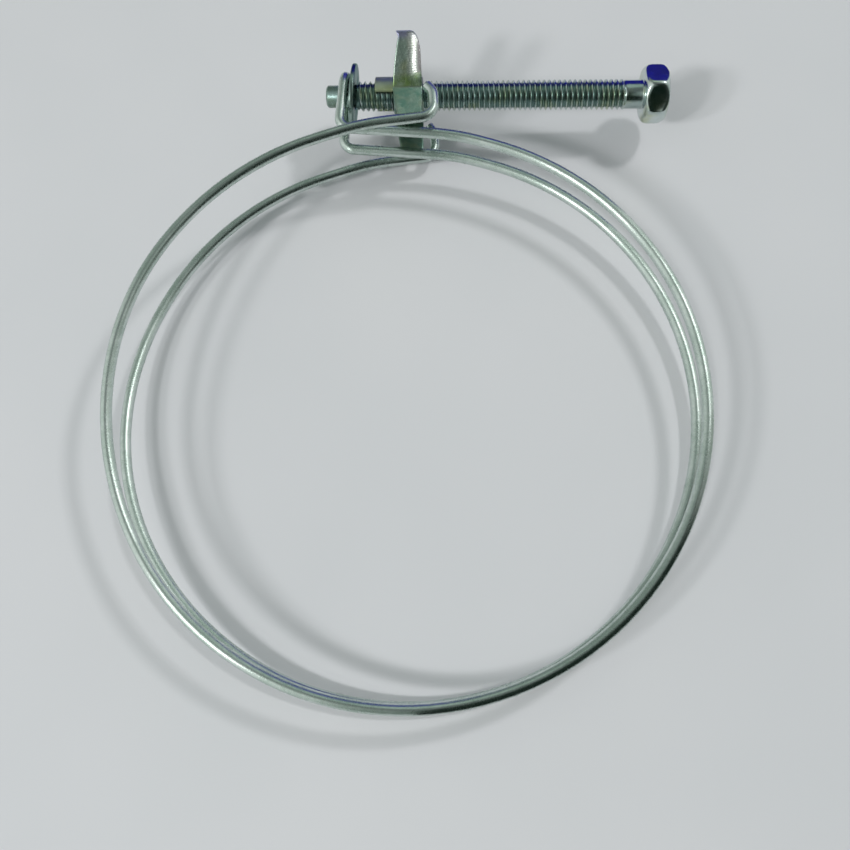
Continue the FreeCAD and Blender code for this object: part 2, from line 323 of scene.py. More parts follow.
# %% [markdown]
# ## The bracket's finish
# Most of the colours painted on the bracket stand in for light. The pale strip along each ear's
# curled edge is a painted highlight, and its very rim is darkened as painted shade. The violet on
# the rolled lip is a painted reflection of blue, and the dark teal on the cheeks a painted dark
# reflection. The olive along the bend is partly the passivation's yellow-green and partly a painted
# dark reflection, and the pale straw on the tongue partly its tint and partly a painted highlight;
# the die also left the tongue rougher. The roll that curled each ear's edge left fine even marks
# across it. Painting all that by hand would take a texture. Here each part is found by soft steps
# in two measures: the station along the screw, and the height over its axis.

# %% Pressed sheet
# Each pair is a soft step: 0 up to the first number, and 1 from the second on.
ear_foot, lip_foot = (-0.6, 0.2), (4.2, 5.4)      # heights over the screw's axis
bend_foot, bend_top, cheek_top = (-2.1, -1.7), (0.4, -0.8), (-1.9, -2.3)
curl_start, rim_start, tongue_start = (-0.9, 0.0), (1.0, 1.7), (-3.4, -3.7)   # stations
roll_mark = 0.34          # distance between the marks of the roll


def sheet_tint_and_painted_light(tree, place, coat):
    x, y, z = split(tree, place)

    def step(value, edges):
        return step_up(tree, value, edges[0] * MM, edges[1] * MM)

    up = y - axis_y * MM
    ear, curled = step(up, ear_foot), step(x, curl_start)
    # the ear's very rim: painted shade
    rim_shade = step(x, rim_start) * ear
    # the bend: its olive is partly tint and partly a painted dark reflection
    bend = step(up, bend_foot) * step(up, bend_top)
    # the rolled lip: a painted reflection of blue
    lip_reflection = step(up, lip_foot) * (1.0 - curled * 0.7)
    # cheeks: a painted dark reflection; tongue: partly tint, partly a painted highlight
    cheek_reflection, tongue_tint_and_highlight = step(up, cheek_top), step(x, tongue_start)
    patch = cloud(tree, place, 1.6 * MM, detail=3.0)
    wave = (y * (math.tau / (roll_mark * MM))).math("SINE") * 0.5 + 0.5
    coat["height"] = coat["height"] + wave * curled * ear * 0.8
    coat["roughness"] = coat["roughness"] + tongue_tint_and_highlight * 0.22
    # painted highlight on the curled strip, painted rim shade, painted reflections on bend, lip and
    # cheeks, tint and painted highlight on the tongue
    for share, colour in ((ear * curled * 0.75, (0.57, 0.59, 0.56, 1)),
                          (rim_shade * 0.75, (0.22, 0.19, 0.21, 1)),
                          (bend * (patch * 0.6 + 0.25), (0.22, 0.33, 0.09, 1)),
                          (lip_reflection * 0.6, (0.36, 0.30, 0.62, 1)),
                          (cheek_reflection * (patch * 0.65 + 0.1), (0.14, 0.30, 0.25, 1)),
                          (tongue_tint_and_highlight * 0.5, (0.62, 0.66, 0.42, 1))):
        coat["colour"] = mix(tree, share, coat["colour"], colour)


zinc_sheet = plated("zinc_pressed_sheet", (0.46, 0.55, 0.49, 1), (0.29, 0.38, 0.33, 1),
                    rough=0.22, rough_spread=0.14, grain=0.026 * MM,
                    tint=(0.40, 0.40, 0.20, 1), worked=sheet_tint_and_painted_light)
print("finish:", zinc_sheet.name)

# %% [markdown]
# ## The wire's route
# On the real clamp one straight wire goes through a bending machine, so its centreline is a row of
# straight runs joined by arcs that touch them. The route is written that way: the corners where
# the runs would meet, and a bend radius for each. Round the hose the corners lie a little outside
# the ring, so that the arcs between them make it. Over 60 degrees of the clock the outer pair
# parts from the even ring, to pass outside the nut bracket.

# %% Sizes of the ring, and its corners
wire_r = 1.0
ring_r = 52.15            # centreline of the wire
loop_r = 3.575            # arch of the loop, and half the distance between the inner pair
outer_z = 6.85            # half the distance between the outer pair, beside the nut
spread_start, spread_end = 240.0, 300.0   # clock angles between which the pairs part
spread_steps, ring_steps = 6, 3           # arcs that make up the parting and the even part
hook_leave, loop_leave = 19.1, 17.2       # clock angles at which the two pairs leave the round


def on_clock(radius, clock, z):
    a = math.radians(clock)
    return Vector((radius * math.sin(a), radius * math.cos(a), z))


def smooth(t):
    t = min(max(t, 0.0), 1.0)
    return t * t * (3 - 2 * t)


def even_stops(start, end, steps):
    return [start + (end - start) * k / steps for k in range(1, steps + 1)]


def ring_corners():
    stops = [360.0 - hook_leave, spread_end]
    stops += even_stops(spread_end, spread_start, spread_steps)
    stops += even_stops(spread_start, loop_leave, ring_steps)
    corners = []
    for a, b in zip(stops, stops[1:]):
        middle = (a + b) / 2
        parted = smooth((middle - spread_start) / (spread_end - spread_start))
        corner = on_clock(ring_r / math.cos(math.radians(a - b) / 2), middle,
                          loop_r + (outer_z - loop_r) * parted)
        corners.append((corner, ring_r if parted in (0.0, 1.0) else None))
    return corners


print("corners round the ring:", len(ring_corners()))

# %% [markdown]
# ## Hook, loop and the other half
# The clamp is the same on both sides of its middle plane, so only half of the route is listed:
# from a cut end, over the hook, down its tail, round the ring, flat along the loop's tail and up
# one leg to the top of the arch. The other half is its mirror image. The tails leave the ring
# along lines that touch it, as a wire does that isn't bent any further.

# %% The whole route
tail_bend_r = 40.0        # slight bend in both tails
hook_tail_x, hook_tail_rise = -8.6, 7.0   # where the outer tail bends, and its climb in degrees
hook_foot_x, hook_foot_r = 4.65, 2.7      # bend from that tail up into the hook
hook_knee_drop, hook_knee_lean, hook_knee_r = 4.0, 0.3, 3.4
hook_tip_drop, hook_tip_in = 2.45, 0.35   # the cut end's centre, below the axis and inwards
nut_right, hook_gap = 2.25, 0.25          # the bracket's edge, and the cut end's gap to it
loop_tail_x, loop_tail_rise = 8.7, 4.4    # where the inner tail bends, and its climb in degrees
loop_x, loop_lean, loop_foot_r = -13.05, 3.7, 2.2   # the legs: station, lean and bend


def leaving_line(clock, x):
    # Height at station x of the line that touches the ring at a clock angle.
    a = math.radians(clock)
    return (ring_r - x * math.sin(a)) / math.cos(a)


def hook_corners():
    climb = math.tan(math.radians(hook_tail_rise))
    tail = Vector((hook_tail_x, leaving_line(-hook_leave, hook_tail_x), outer_z))
    foot = Vector((hook_foot_x, tail.y + (hook_foot_x - hook_tail_x) * climb, outer_z))
    knee = Vector((hook_foot_x - hook_knee_lean, axis_y - hook_knee_drop, outer_z))
    tip = Vector((nut_right + hook_gap + wire_r * math.sqrt(0.5), axis_y - hook_tip_drop,
                  outer_z - hook_tip_in))
    return [(tip, None), (knee, hook_knee_r), (foot, hook_foot_r), (tail, tail_bend_r)]


def loop_corners():
    climb, lean = (math.tan(math.radians(a)) for a in (loop_tail_rise, loop_lean))
    bend = Vector((loop_tail_x, leaving_line(loop_leave, loop_tail_x), loop_r))
    run = (loop_tail_x - loop_x + (axis_y - bend.y) * lean) / (1 + climb * lean)
    top = Vector((loop_x + loop_r * math.sin(math.radians(loop_lean)),
                  axis_y + loop_r * math.cos(math.radians(loop_lean)), loop_r))
    return [(bend, tail_bend_r), (bend + Vector((-run, run * climb, 0)), loop_foot_r),
            (top, loop_r)]


half = hook_corners() + ring_corners() + loop_corners()
route = half + [(Vector((p.x, p.y, -p.z)), r) for p, r in reversed(half)]
print("runs and bends from one cut end to the other:", len(route) - 1, "and", len(route) - 2)

# %% [markdown]
# ## Bends that never overlap
# A bend can't be wider than the runs beside it allow, or its arc runs past its neighbour's. Where
# the pairs part no radius is given, and each bend takes as much as half of its shorter run allows.
# Every arc then ends a hair short of that, which keeps two arcs from meeting end to end.

# %% Radius and steps of each bend
arc_share = 0.998         # arcs end this much short of their corners' tangent points


def turn_at(i):
    # The runs before and after a corner, and the angle that the wire turns through there.
    back = route[i - 1][0] - route[i][0]
    ahead = route[i + 1][0] - route[i][0]
    return back, ahead, math.pi - back.angle(ahead)


def bend_radius(i):
    if route[i][1] is not None:
        return route[i][1] * arc_share
    back, ahead, turn = turn_at(i)
    return min(back.length, ahead.length) / 2 / math.tan(turn / 2) * arc_share


def bend_steps(i):
    # Enough short runs that the bend looks round: few in a slight bend, many in the ring.
    return max(2, math.ceil(turn_at(i)[2] * (5 + 0.6 * bend_radius(i) ** 0.8)))


bends = range(1, len(route) - 1)
radii = [0.0, *(bend_radius(i) for i in bends), 0.0]
steps = [1, *(bend_steps(i) for i in bends), 1]
print("smallest bend radius", round(min(radii[1:-1]), 2), "mm, most steps in a bend", max(steps))

# %% [markdown]
# ## The wire as a geometry tree
# Fillet Curve bends the corners, and Curve to Mesh sends a round section along the result. The
# radius of each bend and the number of steps in it come from attributes on the corners, because a
# tight hook and the wide ring need different ones. The two attributes for the drawn lines are
# stored on the curves before they meet, so they arrive on the mesh by themselves.

# %% Geometry tree for the wire
def wire_tree():
    tree, given = geometry_tree("bent_wire", {"Wire Radius": "NodeSocketFloat",
                                              "Sides": "NodeSocketInt",
                                              "Material": "NodeSocketMaterial"})
    bend = tree.add("GeometryNodeInputNamedAttribute", None, {"Name": "bend_radius"})
    count = tree.add("GeometryNodeInputNamedAttribute", {"data_type": "INT"},
                     {"Name": "bend_steps"})
    corners = tree.add("GeometryNodeMeshToCurve", None, {0: given["Geometry"]})
    bent = tree.add("GeometryNodeFilletCurve", {"mode": "POLY"},
                    {"Curve": corners, "Radius": bend, "Count": count, "Limit Radius": False})
    # Arcs that nearly meet leave two points very close together: one of them is dropped.
    chain = tree.add("GeometryNodeCurveToMesh", None, {"Curve": bent})
    chain = tree.add("GeometryNodeMergeByDistance", None,
                     {"Geometry": chain, "Distance": 0.05 * MM})
    bent = tree.add("GeometryNodeMeshToCurve", None, {0: chain})
    where = tree.add("GeometryNodeSplineParameter", out="Length")
    bent = tree.add("GeometryNodeStoreNamedAttribute", {"data_type": "FLOAT", "domain": "POINT"},
                    {"Geometry": bent, "Name": "along", "Value": where})
    section = tree.add("GeometryNodeCurvePrimitiveCircle", None,
                       {"Resolution": given["Sides"], "Radius": given["Wire Radius"]})
    here = tree.add("GeometryNodeInputPosition")
    outward = tree.add("ShaderNodeVectorMath", {"operation": "NORMALIZE"}, {0: here})
    section = tree.add("GeometryNodeStoreNamedAttribute",
                       {"data_type": "FLOAT_VECTOR", "domain": "POINT"},
                       {"Geometry": section, "Name": "around", "Value": outward})
    tube = tree.add("GeometryNodeCurveToMesh", None,
                    {"Curve": bent, "Profile Curve": section, "Fill Caps": True})
    finish_tree(tree, tube, given["Material"])
    return tree.tree


bent_wire = wire_tree()
print("wire tree:", len(bent_wire.nodes), "nodes")

# %% [markdown]
# ## A check for every made mesh
# A mesh that comes out of a tree or a lathe can hide doubled points, faces that point inwards, or
# a hole. So each one goes through the same check: doubles are merged, faces turned outwards, and
# only real edges left sharp. It prints the volume, and a count of open edges that has to be 0.

# %% Tidy a mesh
def tidy_mesh(mesh, flat_angle=40.0):
    work = bmesh.new()
    work.from_mesh(mesh)
    bmesh.ops.remove_doubles(work, verts=work.verts, dist=1e-7)
    bmesh.ops.dissolve_degenerate(work, edges=work.edges, dist=1e-7)
    bmesh.ops.recalc_face_normals(work, faces=work.faces)
    loose = [e for e in work.edges if len(e.link_faces) != 2]
    for face in work.faces:
        face.smooth = True
    for edge in work.edges:
        edge.smooth = edge.calc_face_angle(0.0) < math.radians(flat_angle)
    volume = work.calc_volume(signed=True) / MM ** 3
    work.to_mesh(mesh)
    work.free()
    print(mesh.name, "volume", round(volume, 1), "mm3, open edges:", len(loose))
    return mesh


print("mesh check ready")

# %% [markdown]
# ## Make the wire
# The route becomes a mesh of corners and edges that carries the two lists as attributes, and the
# tree does the rest. It's then shown in place of the solid ring, and rides on the same body.

# %% Make the wire
wire_sides = 28
route_mesh = bpy.data.meshes.new("wire_route")
route_mesh.from_pydata([tuple(p * MM) for p, r in route],
                       [(i, i + 1) for i in range(len(route) - 1)], [])
route_mesh.attributes.new("bend_radius", "FLOAT", "POINT")
route_mesh.attributes.new("bend_steps", "INT", "POINT")
route_mesh.attributes["bend_radius"].data.foreach_set("value", [r * MM for r in radii])
route_mesh.attributes["bend_steps"].data.foreach_set("value", steps)
wire_mesh = grow("wire", route_mesh, bent_wire,
                 {"Wire Radius": wire_r * MM, "Sides": wire_sides, "Material": zinc_wire})
show("spring_wire", tidy_mesh(wire_mesh), "ring", "wire_ring")

# %% [markdown]
# ## The thread's profile
# A rolled thread has narrow rounded crests, wide rounded roots and even flanks. One pitch of it is
# written as a short table of places along the screw and depths below the crest. A Float Curve
# node holds such a table, so the geometry tree can look a depth up for any of its rows.

# %% The thread's profile
PROFILE = [(0.000, 0.06), (0.035, 0.0), (0.095, 0.0), (0.130, 0.06), (0.420, 0.90),
           (0.470, 0.985), (0.560, 1.0), (0.650, 0.985), (0.700, 0.90)]   # share of pitch, depth


def curve_table(tree, position, pairs):
    # A value read from a table by a position from 0 to 1, straight between its points.
    look_up = tree.add("ShaderNodeFloatCurve", None, {"Value": position})
    curve = look_up.socket.node.mapping.curves[0]
    while len(curve.points) < len(pairs):
        curve.points.new(0.5, 0.5)
    for point, (at, value) in zip(curve.points, pairs):
        point.location = (at, value)
        point.handle_type = "VECTOR"
    look_up.socket.node.mapping.update()
    return look_up


print("thread profile:", len(PROFILE), "points a pitch")

# %% [markdown]
# ## The thread as a geometry tree
# A thread is one shape repeated by a rule: its profile climbs by one pitch in each turn. Instead
# of stacking rings, the tree bends a flat grid: its rows are steps of the profile, its columns go
# once round, and each column is pushed a little further along, so the last column lands exactly
# one turn up and the sides join. That gives a true helix with few faces, and the crests follow
# the grid's rows, so they stay sharp. Near both ends the depth is limited by slopes, which makes
# the lead-in at the tip and the run-out at the neck.

# %% Geometry tree for the thread
LEAD_IN = 1.6             # how steeply the thread rises from the tip
RUN_OUT_CREST, RUN_OUT_ROOT = 0.8, 0.45   # how steeply crest and root close up on the neck
EARLY = 1.5               # turns by which the grid begins before the thread does


def thread_tree():
    sizes = ("Pitch", "Length", "Crest Radius", "Depth", "Tip Radius", "Neck Radius")
    tree, given = geometry_tree("thread", {**{size: "NodeSocketFloat" for size in sizes},
                                           "Sides": "NodeSocketInt",
                                           "Material": "NodeSocketMaterial"})
    rows = len(PROFILE)
    turns = (given["Length"] / given["Pitch"]).math("CEIL") + 2
    columns = given["Sides"] + 1
    grid = tree.add("GeometryNodeMeshGrid", None,
                    {"Vertices X": turns * rows + 1, "Vertices Y": columns})
    index = tree.add("GeometryNodeInputIndex")
    row = (index / columns).math("FLOOR")
    column = index - row * columns
    turn = (row / rows).math("FLOOR")
    step = (row - turn * rows) / rows
    at = [k / rows for k in range(rows + 1)]
    advance = curve_table(tree, step, list(zip(at, [u for u, d in PROFILE] + [1.0])))
    sunk = curve_table(tree, step, list(zip(at, [d for u, d in PROFILE] + [PROFILE[0][1]])))
    share = column / given["Sides"]
    along = (turn + advance + share - EARLY) * given["Pitch"]
    along = along.math("MAXIMUM", 0.0).math("MINIMUM", given["Length"])
    left = given["Length"] - along
    radius = given["Crest Radius"] - sunk * given["Depth"]
    radius = radius.math("MINIMUM", given["Tip Radius"] + along * LEAD_IN)
    radius = radius.math("MINIMUM", given["Neck Radius"] + left * RUN_OUT_CREST)
    radius = radius.math("MAXIMUM", given["Neck Radius"] - left * RUN_OUT_ROOT)
    angle = share * math.tau
    place = tree.add("ShaderNodeCombineXYZ", None,
                     {"X": along, "Y": radius * angle.math("COSINE"),
                      "Z": radius * angle.math("SINE")})
    helix = tree.add("GeometryNodeSetPosition", None, {"Geometry": grid, "Position": place})
    joined = tree.add("GeometryNodeMergeByDistance", None, {"Geometry": helix, "Distance": 1e-6})
    finish_tree(tree, joined, given["Material"])
    return tree.tree


thread = thread_tree()
print("thread tree:", len(thread.nodes), "nodes")

# %% [markdown]
# ## A small lathe
# Turned shapes, such as the screw's plain tip, its neck and the washer, are an outline of stations
# and radii that is spun round the axis. A cylinder with bevels could do as well, but an outline
# also holds the little fillets where one diameter meets the next.

# %% A small lathe
def skin(work, rings):
    # Faces from each ring of points to the next: triangles where a ring is a single point.
    for one, two in zip(rings, rings[1:]):
        for k in range(len(one)):
            after = (k + 1) % len(one)
            work.faces.new(list(dict.fromkeys((one[k], one[after], two[after], two[k]))))


def lathe(outline, sides):
    # Spins an outline of (x, radius) round the X axis. Both ends lie on it, or both are left open.
    work = bmesh.new()
    rings = []
    turns = [math.tau * k / sides for k in range(sides)]
    for x, r in outline:
        if r == 0:
            rings.append([work.verts.new((x, 0, 0))] * sides)
        else:
            rings.append([work.verts.new((x, r * math.cos(a), r * math.sin(a))) for a in turns])
    skin(work, rings)
    return work


print("lathe ready")

# %% [markdown]
# ## Thread, dog point and neck
# The screw has a long even thread, a plain dog point that stands through the washer and the loop,
# and a short neck under the head. The dog point and the neck get as many sides as the thread, so
# that the three join point by point.

# %% Thread, dog point and neck
screw_sides = 40          # of everything that is round on the screw
pitch, crest_r, thread_depth, thread_len = 1.0, 2.85, 0.56, 52.4
dog_r, dog_len, tip_chamfer = 2.1, 6.0, 0.35
neck_r, neck_len = 2.65, 3.35
neck_end = thread_len + neck_len
thread_foot_r = dog_r + 0.15              # where the thread's first turn rises from the shoulder
collar_r, collar_deep = neck_r + 0.25, 0.5   # the neck's fillet, and how far it goes into the head

carrier = bpy.data.meshes.new("thread_seed")
carrier.from_pydata([(0, 0, 0)], [], [])
turned = grow("thread", carrier, thread,
              {"Pitch": pitch * MM, "Length": thread_len * MM, "Crest Radius": crest_r * MM,
               "Depth": thread_depth * MM, "Tip Radius": thread_foot_r * MM,
               "Neck Radius": neck_r * MM, "Sides": screw_sides, "Material": zinc_screw})
# Outlines, with corners eased by a few hundredths of a millimetre.
dog = [(-dog_len, 0.0), (-dog_len, dog_r - tip_chamfer - 0.06),
       (-dog_len + 0.03, dog_r - tip_chamfer), (-dog_len + tip_chamfer - 0.03, dog_r - 0.03),
       (-dog_len + tip_chamfer + 0.05, dog_r), (-0.08, dog_r), (-0.02, dog_r + 0.02),
       (0.0, dog_r + 0.08), (0.0, thread_foot_r)]
neck = [(thread_len, neck_r), (thread_len + 0.4, neck_r), (neck_end - 0.25, neck_r),
        (neck_end - 0.08, neck_r + 0.07), (neck_end, collar_r),
        (neck_end + collar_deep, collar_r), (neck_end + collar_deep, 0.0)]
print("dog point", dog_len, "mm, thread", thread_len, "mm, neck", neck_len, "mm long")

# %% [markdown]
# ## The hexagon head
# The head is a hexagon turned to a cone on both faces, which is why each flat ends in a soft arch.
# It's spun too, with one more rule: at each angle the outline reaches as far as the hexagon does
# there, rounded a little at its corners. A bevelled hexagon would need a boolean for the arches.

# %% Hexagon head
head_af, head_h, head_turn = 9.8, 4.6, -14.0   # across the flats, height, degrees
head_corner_r = 1.0
head_edge_r = 0.7         # how far from each edge its rounding starts
flat_r = head_af / 2 - 0.25               # the cones start this far out
cone_tan = math.tan(math.radians(42.0))
flat_columns = 13         # of points over each flat


def soften(points, edge):
    # Rounds every inner corner of an outline by a small curve that starts `edge` before it.
    soft = [points[0]]
    for before, here, after in zip(points, points[1:], points[2:]):
        here = Vector(here)
        back = Vector(before) - here
        ahead = Vector(after) - here
        start = here + back.normalized() * min(edge, back.length * 0.45)
        end = here + ahead.normalized() * min(edge, ahead.length * 0.45)
        soft += [start, start * 0.25 + here * 0.5 + end * 0.25, end]
    return soft + [points[-1]]


def hexagon_columns():
    # (angle, reach) of a hexagon with slightly rounded corners, close together at the corners.
    centre = (head_af / 2 - head_corner_r) / math.cos(math.radians(30))
    bend = math.radians(30) - math.atan(centre / 2 / (head_af / 2))
    columns = []
    for k in range(6):
        corner = math.radians(90.0 - head_turn + 60 * k)
        for off in (-bend, -bend / 2, 0.0, bend / 2, bend):
            inside = math.sqrt(head_corner_r ** 2 - (centre * math.sin(off)) ** 2)
            columns.append((corner + off, centre * math.cos(off) + inside))
        for i in range(1, flat_columns + 1):
            off = bend + (math.radians(60) - 2 * bend) * i / (flat_columns + 1)
            columns.append((corner + off, head_af / 2 / math.cos(math.radians(30) - off)))
    return columns


def head_shape(base):
    work = bmesh.new()
    poles = [work.verts.new((base, 0, 0)), work.verts.new((base + head_h, 0, 0))]
    columns = []
    for angle, reach in hexagon_columns():
        drop = (reach - flat_r) * cone_tan
        outline = soften([(0, 0), (0, flat_r), (drop, reach), (head_h - drop, reach),
                          (head_h, flat_r), (head_h, 0)], head_edge_r)
        ring = [work.verts.new((base + x, r * math.cos(angle), r * math.sin(angle)))
                for x, r in outline[1:-1]]
        columns.append([poles[0]] + ring + [poles[1]])
    skin(work, list(zip(*columns)))
    return work


head = head_shape(neck_end)
print("head:", len(head.faces), "faces")

# %% [markdown]
# ## The screw in one
# The real screw is one forging, so its four parts become one mesh and ride as one piece. They are
# made along the X axis with the shoulder at 0, and the whole is then moved to the screw's axis.

# %% Put the screw together
def join_parts(name, grown, spun):
    # One mesh, in metres, of meshes in metres and of spun shapes in millimetres.
    whole = bmesh.new()
    for mesh in grown:
        whole.from_mesh(mesh)
    for part in spun:
        mesh = bpy.data.meshes.new("part")
        bmesh.ops.scale(part, vec=(MM, MM, MM), verts=part.verts)
        part.to_mesh(mesh)
        part.free()
        whole.from_mesh(mesh)
    mesh = bpy.data.meshes.new(name)
    whole.to_mesh(mesh)
    whole.free()
    return mesh


screw_mesh = join_parts("screw_body", [turned],
                        [lathe(dog, screw_sides), lathe(neck, screw_sides), head])
screw_mesh.transform(Matrix.Translation(Vector((shoulder_x, axis_y, 0)) * MM))
screw_mesh.materials.append(zinc_screw)
show("screw_turned", tidy_mesh(screw_mesh, flat_angle=34.0), "screw", "screw")

# %% [markdown]
# ## The end washer
# A plain stamped washer: flat faces, a rim that is rounded by barrel plating, and a hole that the
# dog point passes through with room to spare. Spinning its small outline gives the rounded rim
# for nothing. It hangs a little askew on the dog point, so it's turned before it's moved.

# %% Make the washer
washer_t, washer_r, hole_r, washer_edge = 0.85, 6.2, 2.45, 0.25
washer_yaw = 2.5          # degrees, askew on the dog point, its back half on the loop
seat_gap = 0.02
washer_sides = 96


def arc(x, r, size, start, end, count=5):
    # Points on a small round edge about (x, r), from one direction to another, in degrees.
    turns = [math.radians(start + (end - start) * k / count) for k in range(count + 1)]
    return [(x + size * math.cos(a), r + size * math.sin(a)) for a in turns]


rim_r = washer_r - washer_edge
outline = [(0.0, hole_r + 0.12), (0.0, rim_r)]
outline += arc(washer_edge, rim_r, washer_edge, 180.0, 90.0)[1:]
outline += arc(washer_t - washer_edge, rim_r, washer_edge, 90.0, 0.0)
outline += [(washer_t, hole_r + 0.12), (washer_t - 0.04, hole_r + 0.03),
            (washer_t - 0.12, hole_r), (0.12, hole_r), (0.04, hole_r + 0.03), outline[0]]
yaw, lean = math.radians(washer_yaw), math.radians(loop_lean)
seat = (wire_r + seat_gap) / math.cos(yaw) + loop_r * math.tan(yaw)
placed = Matrix.Translation(Vector((loop_x + seat * math.cos(lean),
                                    axis_y - seat * math.sin(lean), 0)) * MM)
placed = placed @ Matrix.Rotation(-lean, 4, "Z") @ Matrix.Rotation(yaw, 4, "Y")
washer_mesh = join_parts("washer", [], [lathe(outline, washer_sides)])
washer_mesh.transform(placed)
washer_mesh.materials.append(zinc_washer)
show("end_washer_round", tidy_mesh(washer_mesh), "ring", "end_washer")

# %% [markdown]
# ## The nut bracket
# The bracket is stamped and folded from 0.7 mm sheet. Folding and barrel plating leave no sharp
# edge on it, and its ears curl like a leaf, so bevels on separate edges would never meet well. Its
# form is already in the solid model. So a copy of that mesh is closed, cut into small cubes and
# made again from them, and a light smoothing rounds every edge alike, as wear does.

# %% Make the bracket
cube = 0.105              # size of the cubes, fine enough for a clean line along the ear's edge
smoothing_passes = 12


def softened_copy(node, name):
    # A node's mesh, merged, remade in small even faces and smoothed along its edges.
    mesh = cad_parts[node].data.copy()
    work = bmesh.new()
    work.from_mesh(mesh)
    bmesh.ops.remove_doubles(work, verts=work.verts, dist=2e-7)
    work.to_mesh(mesh)
    work.free()
    carrier = bpy.data.objects.new(name + "_base", mesh)
    bpy.context.scene.collection.objects.link(carrier)
    remesh = carrier.modifiers.new("remesh", "REMESH")
    remesh.mode = "VOXEL"
    remesh.voxel_size = cube * MM
    remesh.use_smooth_shade = True
    smoothing = carrier.modifiers.new("smooth", "SMOOTH")
    smoothing.factor = 0.5
    smoothing.iterations = smoothing_passes
    made = as_mesh(carrier, name)
    made.materials.clear()
    return made


bracket_mesh = softened_copy("nut_bracket", "pressed_nut")
bracket_mesh.materials.append(zinc_sheet)
show("pressed_nut", bracket_mesh, "bracket", "nut_bracket")

# %% [markdown]
# ## Floor
# The clamp doesn't stand on its ring's edge. Put down on a table it tips a few degrees, until two
# points of the ring and the tip of the lower ear all touch, so the floor is laid through those
# three points. It's plain pale card, with a cloudiness that is only just there.

# %% Floor
floor_up = Vector((-0.03096, 0.05368, 0.99808)).normalized()
floor_drop = 7.80         # from the ring's centre down to the card
floor_half = 1.2          # metres, half of its side
floor_material, tree = new_material("pale_card")
tone = cloud(tree, tree.add("ShaderNodeTexCoord", out="Object"), 50.0 * MM)
card = mix(tree, tone, (0.672, 0.672, 0.694, 1), (0.652, 0.656, 0.678, 1))
shader = tree.add("ShaderNodeBsdfPrincipled", None,
                  {"Base Color": card, "Roughness": 0.75, "Specular IOR Level": 0.15})
tree.add("ShaderNodeOutputMaterial", None, {"Surface": shader})

side = floor_up.cross(Vector((0, 1, 0))).normalized() * floor_half
ahead = side.cross(floor_up).normalized() * floor_half
middle = -floor_up * floor_drop * MM
floor_mesh = bpy.data.meshes.new("floor")
floor_mesh.from_pydata([middle - side - ahead, middle + side - ahead, middle + side + ahead,
                        middle - side + ahead], [], [(0, 1, 2, 3)])
floor_mesh.materials.append(floor_material)
floor = bpy.data.objects.new("floor", floor_mesh)
bpy.context.scene.collection.objects.link(floor)
print("floor tilted", round(math.degrees(floor_up.angle(Vector((0, 0, 1)))), 2), "degrees")

# %% [markdown]
# ## Lamps
# Three small lamps give the three faint shadows, two from the lower left and one from the upper
# right. A lamp that small would mirror in the metal as a hard dot. So the lamps are hidden from
# mirrors, and two wide soft panels stand about where they do, which are seen in the metal and
# throw no light on the card.

# %% Lamps and panels
lamp_far = 0.8            # metres from the middle of the clamp
lamp_aim = Vector((0.0, 10.0, 0.0)) * MM


def lamp(name, towards, size, power, mirrored=False):
    # A square lamp, aimed at the clamp. It either lights, or is mirrored.
    data = bpy.data.lights.new(name, "AREA")
    data.size = size
    data.energy = power
    light = bpy.data.objects.new(name, data)
    bpy.context.scene.collection.objects.link(light)
    direction = Vector(towards).normalized()
    light.location = lamp_aim + direction * lamp_far
    light.rotation_euler = direction.to_track_quat("Z", "Y").to_euler()
    light.visible_diffuse = not mirrored
    light.visible_glossy = mirrored


lamp("lamp_left", (-0.56, -0.44, 0.70), 0.08, 1.45)
lamp("lamp_low_left", (-0.70, -0.36, 0.61), 0.08, 1.2)
lamp("lamp_right", (0.485, 0.39, 0.70), 0.08, 1.5)
lamp("panel_left", (-0.62, -0.42, 0.66), 0.24, 1.0, mirrored=True)
lamp("panel_right", (0.485, 0.39, 0.78), 0.24, 0.5, mirrored=True)

# %% [markdown]
# ## The room that the metal mirrors
# Bright metal shows what surrounds it more than its own colour. All round the ring the wire mirrors
# the room at about eye level, each stretch another part of it, so the room's brightness is a
# ramp by compass direction. Overhead, where the camera is, it's dark, which draws a dark line
# along the top of the wire. Behind the clamp there is a pale band high up, which the bracket's
# cheek mirrors, and a blue window low down. The camera itself sees plain grey instead.

# %% Room
# Compass direction and brightness: 0 and 1 are the front, 0.5 is behind the clamp.
ROOM = [(0.00, 0.20), (0.035, 0.25), (0.08, 0.75), (0.17, 0.90), (0.30, 0.72), (0.34, 0.54),
        (0.38, 0.32), (0.45, 0.23), (0.485, 0.14), (0.52, 0.24), (0.56, 0.50), (0.64, 0.80),
        (0.72, 0.60), (0.79, 0.40), (0.85, 0.06), (0.95, 0.015), (0.98, 0.18), (1.00, 0.20)]
PALE_WALL = 0.6           # parts of the room that are darker than this are greener


def wall_colour(grey):
    leaf = 1 - min(grey / PALE_WALL, 1)
    return grey * (0.95 - 0.20 * leaf), grey, grey * (0.97 - 0.10 * leaf), 1


